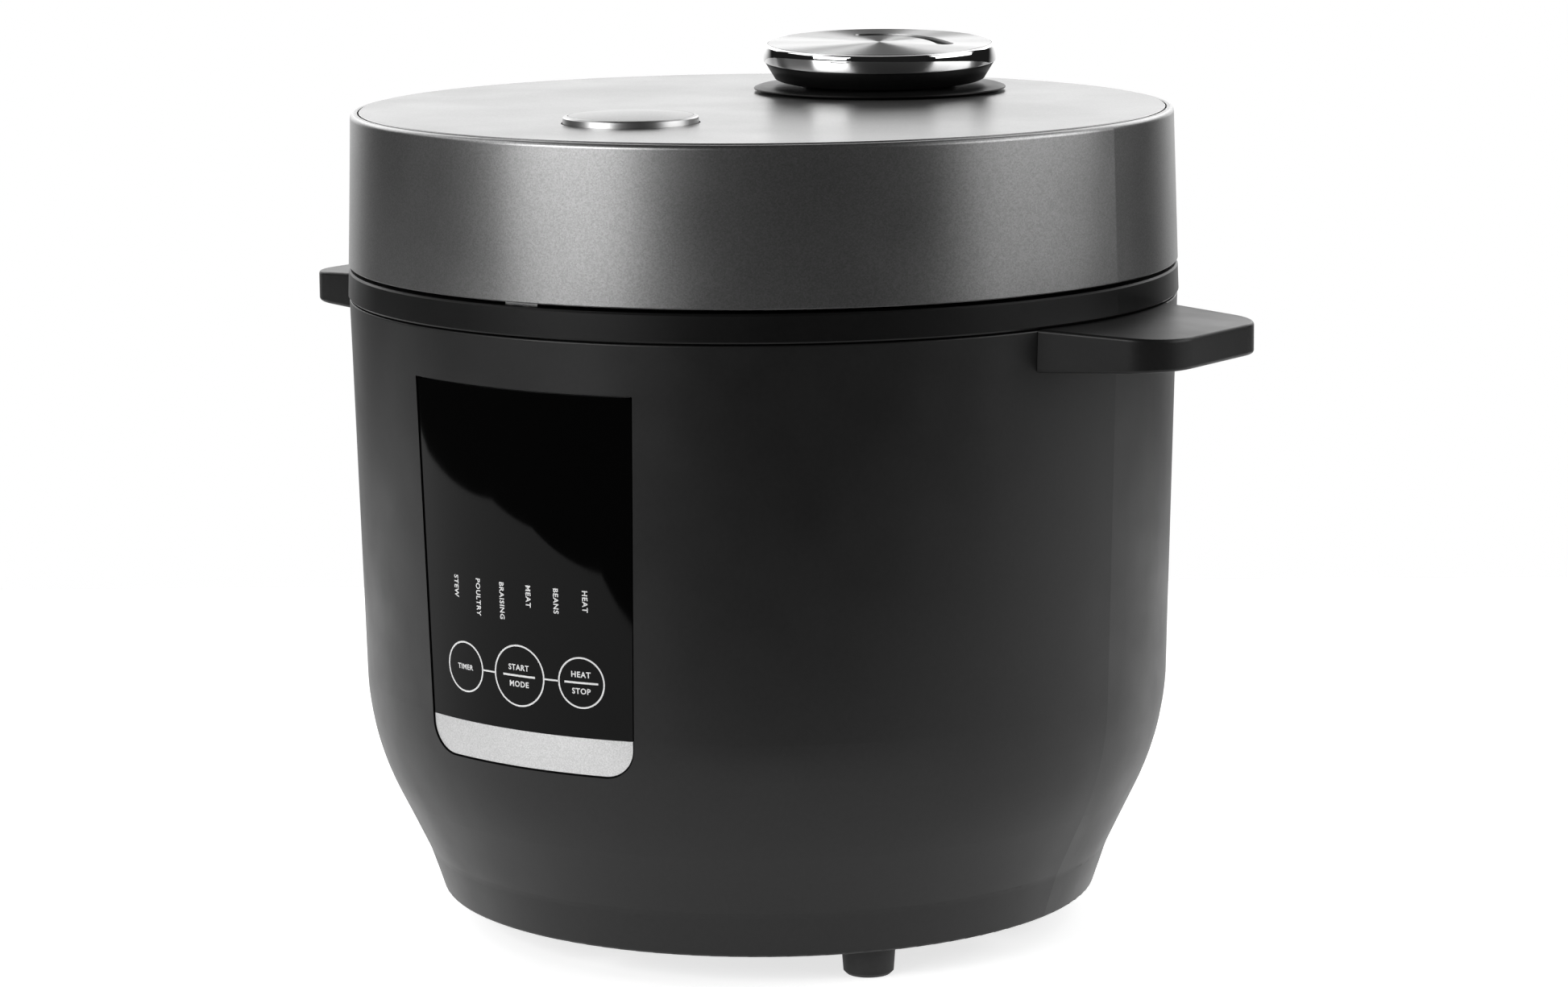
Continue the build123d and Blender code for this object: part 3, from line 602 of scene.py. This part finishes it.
lathe(
    "knob_skirt",
    (
        (CUP_BORE_R, CUP_BOTTOM),
        (CUP_R, CUP_BOTTOM),
        (CUP_R, SKIRT_UNDERSIDE),
        (SKIRT_UNDERSIDE_R, SKIRT_UNDERSIDE),
        (SKIRT_R - 0.3, SKIRT_UNDERSIDE + 0.45),
        (SKIRT_R - 0.05, SKIRT_UNDERSIDE + 0.55),
        (SKIRT_R, SKIRT_TOP - 0.85),
        (SKIRT_R - 0.1, SKIRT_TOP - 0.65),
        (SKIRT_R - 0.6, SKIRT_TOP - 0.45),
        (SKIRT_R - 1.6, SKIRT_TOP - 0.15),
        (SKIRT_R - 2.4, SKIRT_TOP),
        (CUP_INNER_R, SKIRT_TOP),
        (CUP_INNER_R, CUP_FLOOR),
        (CUP_BORE_R, CUP_FLOOR),
    ),
    centre_y=KNOB_Y,
    mat=trim_black,
    body="lid",
    hidden="knob_flange",
)
lathe(
    "button_band",
    (
        (BUTTON_BORE_R, BUTTON_BOTTOM),
        (BUTTON_R, BUTTON_BOTTOM),
        (BUTTON_R, BUTTON_TOP - 1.8),
        (BUTTON_R - 0.1, BUTTON_TOP - 0.5),
        (BUTTON_R - 0.4, BUTTON_TOP - 0.18),
        (BUTTON_R - 1.2, BUTTON_TOP),
        (BUTTON_BORE_R, BUTTON_TOP),
    ),
    centre_y=BUTTON_Y,
    mat=satin_chrome,
    body="button",
    hidden="button_ring",
)


# ---- springs ----
COIL_STEPS = 18  # points in each turn
DEAD_TURNS = 0.75  # wound tight at each end


def coil_line(length, radius, wire, turns):
    """Points along the middle of a spring's wire, with closed ends, from z = 0 up."""
    dead_height = DEAD_TURNS * wire
    open_height = length - wire - 2 * dead_height
    points = []
    for i in range(turns * COIL_STEPS + 1):
        turn = i / COIL_STEPS
        if turn < DEAD_TURNS:
            rise = turn * wire
        elif turn > turns - DEAD_TURNS:
            rise = length - wire - (turns - turn) * wire
        else:
            rise = dead_height + open_height * (turn - DEAD_TURNS) / (turns - 2 * DEAD_TURNS)
        angle = 2 * math.pi * turn
        points.append((radius * math.cos(angle), radius * math.sin(angle), rise + wire / 2))
    return points


def coil(name, hidden, body, foot, axis, length, radius, wire, turns):
    """A wound spring from foot along axis, standing for the plain sleeve of the frame."""
    points = coil_line(length, radius, wire, turns)
    curve = bpy.data.curves.new(name, "CURVE")
    curve.dimensions = "3D"
    spline = curve.splines.new("POLY")
    spline.points.add(len(points) - 1)
    for point, at in zip(spline.points, points):
        point.co = (*at, 1)
    curve.bevel_depth = wire / 2
    curve.bevel_resolution = 2
    curve.use_fill_caps = True
    holder = bpy.data.objects.new(name + "_line", curve)
    bpy.context.scene.collection.objects.link(holder)
    bpy.context.view_layer.update()
    mesh = bpy.data.meshes.new_from_object(holder)
    bpy.data.objects.remove(holder)
    turn_to = Vector((0, 0, 1)).rotation_difference(Vector(axis)).to_matrix().to_4x4()
    mesh.transform(Matrix.Translation(foot) @ turn_to)
    mesh.materials.clear()
    for polygon in mesh.polygons:
        polygon.use_smooth = True
    obj = piece(name, mesh, spring_steel, body)
    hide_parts(hidden)
    return obj


low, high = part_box("button_spring")
button_coil = coil(
    "button_coil",
    hidden="button_spring",
    body="lid",
    foot=((low.x + high.x) / 2, (low.y + high.y) / 2, low.z),
    axis=(0, 0, 1),
    length=high.z - low.z,
    radius=(high.x - low.x) / 2 - 0.45 * MM,
    wire=0.8 * MM,
    turns=5,
)
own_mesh(button_coil)
low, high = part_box("sensor_spring")
sensor_coil = coil(
    "sensor_coil",
    hidden="sensor_spring",
    body="root",
    foot=(0, 0, low.z),
    axis=(0, 0, 1),
    length=high.z - low.z,
    radius=(high.x - low.x) / 2 - 0.55 * MM,
    wire=1.0 * MM,
    turns=6,
)
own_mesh(sensor_coil)
low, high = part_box("hinge_spring")
coil(
    "hinge_coil",
    hidden="hinge_spring",
    body="root",
    foot=(low.x, (low.y + high.y) / 2, (low.z + high.z) / 2),
    axis=(1, 0, 0),
    length=high.x - low.x,
    radius=(high.z - low.z) / 2 - 0.6 * MM,
    wire=1.1 * MM,
    turns=12,
)


# ---- camera ----
# The camera looks along +Y and a little down, and is then turned to the cooker's right front.
CAMERA_PLACE = (0.7078, -0.9923, 0.3188)
CAMERA_TURN = math.radians(35.5)
YAW, PITCH, ROLL = 0.0040, 0.1689, -0.0087
SENSOR_WIDTH, FOCAL_LENGTH = 36, 107.29  # in millimetres

forward = Vector(
    (math.sin(YAW) * math.cos(PITCH), math.cos(YAW) * math.cos(PITCH), -math.sin(PITCH))
)
level_right = Vector((math.cos(YAW), -math.sin(YAW), 0))
level_up = level_right.cross(forward)
right = math.cos(ROLL) * level_right + math.sin(ROLL) * level_up
up = -math.sin(ROLL) * level_right + math.cos(ROLL) * level_up
turn = Matrix.Rotation(CAMERA_TURN, 3, "Z")
axes = Matrix((turn @ right, turn @ up, turn @ -forward)).transposed().to_4x4()

camera_data = bpy.data.cameras.new("camera")
camera_data.lens = FOCAL_LENGTH
camera_data.sensor_width = SENSOR_WIDTH
camera_data.sensor_fit = "HORIZONTAL"
camera_data.clip_end = 50
camera = bpy.data.objects.new("camera", camera_data)
bpy.context.scene.collection.objects.link(camera)
camera.matrix_world = Matrix.Translation(CAMERA_PLACE) @ axes
bpy.context.scene.camera = camera


# ---- studio ----
TO_CAMERA = math.atan2(CAMERA_PLACE[1], CAMERA_PLACE[0])
DARKEST = 0.012  # how bright the darkest parts of the room are
AIM = Vector((0, 0, 0.12))  # near the middle of the cooker
FLOOR_OUTLINE = (
    (-1.10, -0.22),
    (-0.70, -0.32),
    (-0.44, -0.515),
    (-0.287, -0.56),
    (-0.065, -0.555),
    (0.01, -0.485),
    (0.06, -0.40),
    (0.18, -0.28),
    (0.50, -0.12),
    (0.75, 0.35),
    (0.39, 0.83),
)
SOFTBOXES = (
    # name, degrees, distance, height, width and height of the light, power in watts
    ("key_left", -52, 1.5, 0.62, (1.06, 0.9), 20.5),
    ("fill_right", 79, 1.5, 0.62, (1.35, 0.9), 13.5),
    ("wing_left", -95, 1.1, 1.15, (0.8, 0.9), 4),
    ("wing_right", 95, 1.1, 1.15, (0.8, 0.9), 4),
    ("back_left", -146, 1.7, 1.1, (1.3, 0.9), 7.5),
    ("back_right", 146, 1.7, 1.1, (1.3, 0.9), 7.5),
)


def softbox(name, degrees, distance, height, size, power):
    """An area light, degrees to the right of the camera's side as the camera sees it."""
    data = bpy.data.lights.new(name, "AREA")
    data.shape = "RECTANGLE"
    data.size, data.size_y = size
    data.energy = power
    obj = bpy.data.objects.new(name, data)
    bpy.context.scene.collection.objects.link(obj)
    a = TO_CAMERA + math.radians(degrees)
    obj.location = (distance * math.cos(a), distance * math.sin(a), height)
    obj.rotation_mode = "QUATERNION"
    obj.rotation_quaternion = (AIM - obj.location).to_track_quat("-Z", "Y")


# The floor is a plain sheet that ends a little way in front of the control window.
floor_mesh = bpy.data.meshes.new("floor")
bm = bmesh.new()
bm.faces.new([bm.verts.new((x, y, 0)) for x, y in FLOOR_OUTLINE])
bm.to_mesh(floor_mesh)
bm.free()
floor = bpy.data.objects.new("floor", floor_mesh)
bpy.context.scene.collection.objects.link(floor)
floor_mesh.materials.append(
    make_material("floor_paint", grey(0.62), 0.9, Emission_Strength=0.72)
)
floor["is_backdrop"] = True

for softbox_values in SOFTBOXES:
    softbox(*softbox_values)

# The room is white to the eye. To the cooker it is bright behind, dim below the floor's level
# and dark overhead and on the camera's side.
world = bpy.data.worlds.new("studio")
bpy.context.scene.world = world
world.use_nodes = True
world.node_tree.nodes.clear()


def soft_step(value, start, end, low, high):
    """A soft step from low to high as value goes from start to end."""
    ramp = between(world, value, low, high, start, end)
    ramp.interpolation_type = "SMOOTHSTEP"
    return ramp.outputs["Result"]


def arithmetic(operation, *values):
    """The result of a maths node on values, each an output of another node or a plain number."""
    node = add(world, "ShaderNodeMath")
    node.operation = operation
    for index, value in enumerate(values):
        if isinstance(value, float):
            node.inputs[index].default_value = value
        else:
            link(world, value, node.inputs[index])
    return node.outputs["Value"]


coords = add(world, "ShaderNodeTexCoord")
facing = add(world, "ShaderNodeVectorMath")
facing.operation = "DOT_PRODUCT"
facing.inputs[1].default_value = (-math.cos(TO_CAMERA), -math.sin(TO_CAMERA), 0.1)
link(world, coords.outputs["Generated"], facing.inputs[0])
height = add(world, "ShaderNodeSeparateXYZ")
link(world, coords.outputs["Generated"], height.inputs["Vector"])

behind = soft_step(facing.outputs["Value"], start=0.71, end=0.97, low=0.0, high=1.8)
above_floor = soft_step(height.outputs["Z"], start=-0.15, end=0.04, low=0.4, high=1.0)
below_ceiling = soft_step(height.outputs["Z"], start=0.30, end=0.62, low=1.0, high=0.06)
wall = arithmetic("MULTIPLY", above_floor, below_ceiling)
room = arithmetic("MULTIPLY_ADD", behind, wall, DARKEST)

light_path = add(world, "ShaderNodeLightPath")
seen = add(world, "ShaderNodeMix")
seen.data_type = "FLOAT"
link(world, light_path.outputs["Is Camera Ray"], seen.inputs["Factor"])
link(world, room, seen.inputs["A"])
seen.inputs["B"].default_value = 1.0
glow = add(world, "ShaderNodeBackground", Color=(1, 1, 1, 1))
link(world, seen.outputs["Result"], glow.inputs["Strength"])
output = add(world, "ShaderNodeOutputWorld")
link(world, glow.outputs["Background"], output.inputs["Surface"])

bpy.context.scene.view_settings.view_transform = "Standard"

low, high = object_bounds()
